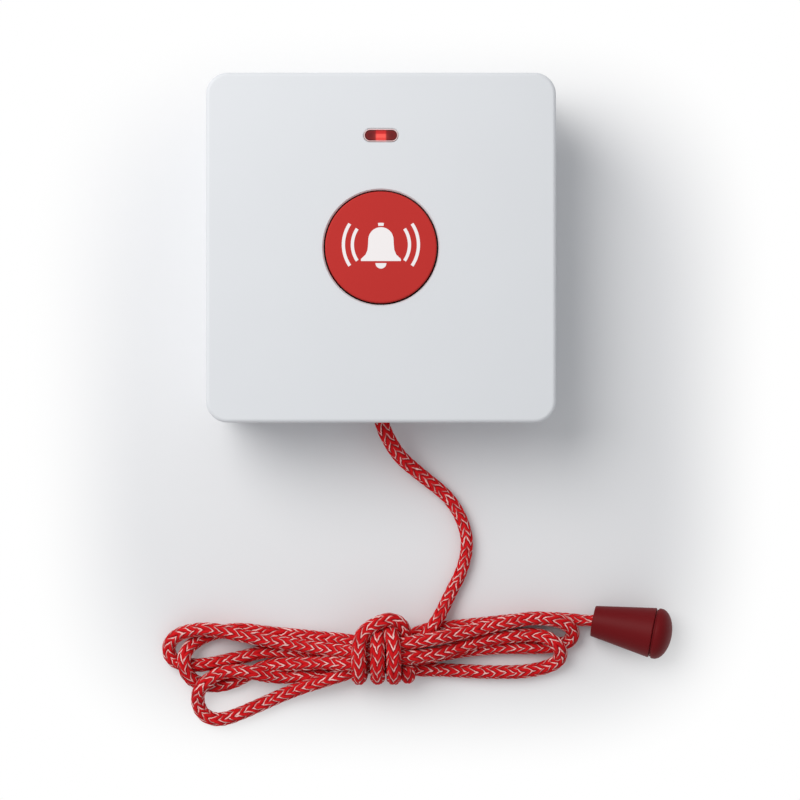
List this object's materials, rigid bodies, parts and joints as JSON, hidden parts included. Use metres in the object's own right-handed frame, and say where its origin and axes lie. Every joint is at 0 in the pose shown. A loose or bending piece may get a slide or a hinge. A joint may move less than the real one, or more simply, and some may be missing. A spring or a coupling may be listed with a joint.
{
  "type": "emergency pull cord alarm",
  "caption": "Square white battery powered wall alarm with a round red call button, a lamp window and a red pull cord put up in a bound hank, ending in a cone shaped pull.",
  "frame": {"origin": "centre of the wall face, on the back of the wall plate", "axes": "+Z out of the front face, +Y towards the lamp window, +X to the right seen from the front; the cord leaves the lower side along -Y"},
  "size_m": [0.1304, 0.1642, 0.0266],
  "materials": {
    "white_shell": "fine satin moulding",
    "red_button": "satin",
    "red_lens": "clear red",
    "maroon_pull": "satin",
    "red_cord": "braided with pale tracers",
    "green_board": "solder resist",
    "black_plastic": "moulded",
    "steel": "zinc plated",
    "contact_metal": "nickel plated",
    "cell_sleeve": "printed sleeve",
    "seal_rubber": "matt",
    "lamp_resin": "milky"
  },
  "bodies": {
    "housing": {"wall_plate": "white_shell", "rear_case": "white_shell", "front_cover": "white_shell", "case_seal": "seal_rubber", "battery_door": "white_shell", "battery_1": "cell_sleeve", "battery_2": "cell_sleeve", "contact_link": "contact_metal", "contact_plus": "contact_metal", "contact_minus": "contact_metal", "main_board": "green_board", "radio_module": "steel", "antenna": "contact_metal", "buzzer": "black_plastic", "status_led": "lamp_resin", "led_lens": "red_lens", "tact_switch": "black_plastic", "button_spring": "steel", "cord_bush": "white_shell", "slider_retainer": "white_shell", "pull_spring": "steel", "limit_switch": "black_plastic", "case_screw_1": "steel", "case_screw_2": "steel", "case_screw_3": "steel", "case_screw_4": "steel", "board_screw_1": "steel", "board_screw_2": "steel", "board_screw_3": "steel", "board_screw_4": "steel", "retainer_screw_1": "steel", "retainer_screw_2": "steel"},
    "button": {"call_button": "red_button"},
    "button_contact": {"tact_plunger": "black_plastic"},
    "pull": {"pull_slider": "black_plastic", "inner_cord": "red_cord", "cord_lead": "red_cord", "cord_hank": "red_cord", "cord_tail": "red_cord", "pull_body": "maroon_pull", "pull_cap": "maroon_pull", "end_knot": "red_cord"},
    "cord_contact": {"limit_plunger": "red_button"}
  },
  "joints": [
    {"name": "call_button_press", "type": "slide", "parent": "housing", "child": "button", "axis": [0, 0, -1], "range_m": [0, 0.0006], "stiffness_N_per_m": 800, "springref_m": -0.0005, "deforming": ["button_spring"]},
    {"name": "button_contact_press", "type": "slide", "parent": "housing", "child": "button_contact", "axis": [0, 0, -1], "range_m": [0, 0.00036]},
    {"name": "cord_pull", "type": "slide", "parent": "housing", "child": "pull", "axis": [0, -1, 0], "range_m": [0, 0.004], "stiffness_N_per_m": 400, "springref_m": -0.002, "deforming": ["pull_spring"]},
    {"name": "cord_contact_press", "type": "slide", "parent": "housing", "child": "cord_contact", "axis": [0, 0, 1], "range_m": [0, 0.0008]}
  ],
  "couplings": [
    {"joint": "button_contact_press", "follows": "call_button_press", "ratio": 0.6},
    {"joint": "cord_contact_press", "follows": "cord_pull", "ratio": 0.2}
  ]
}
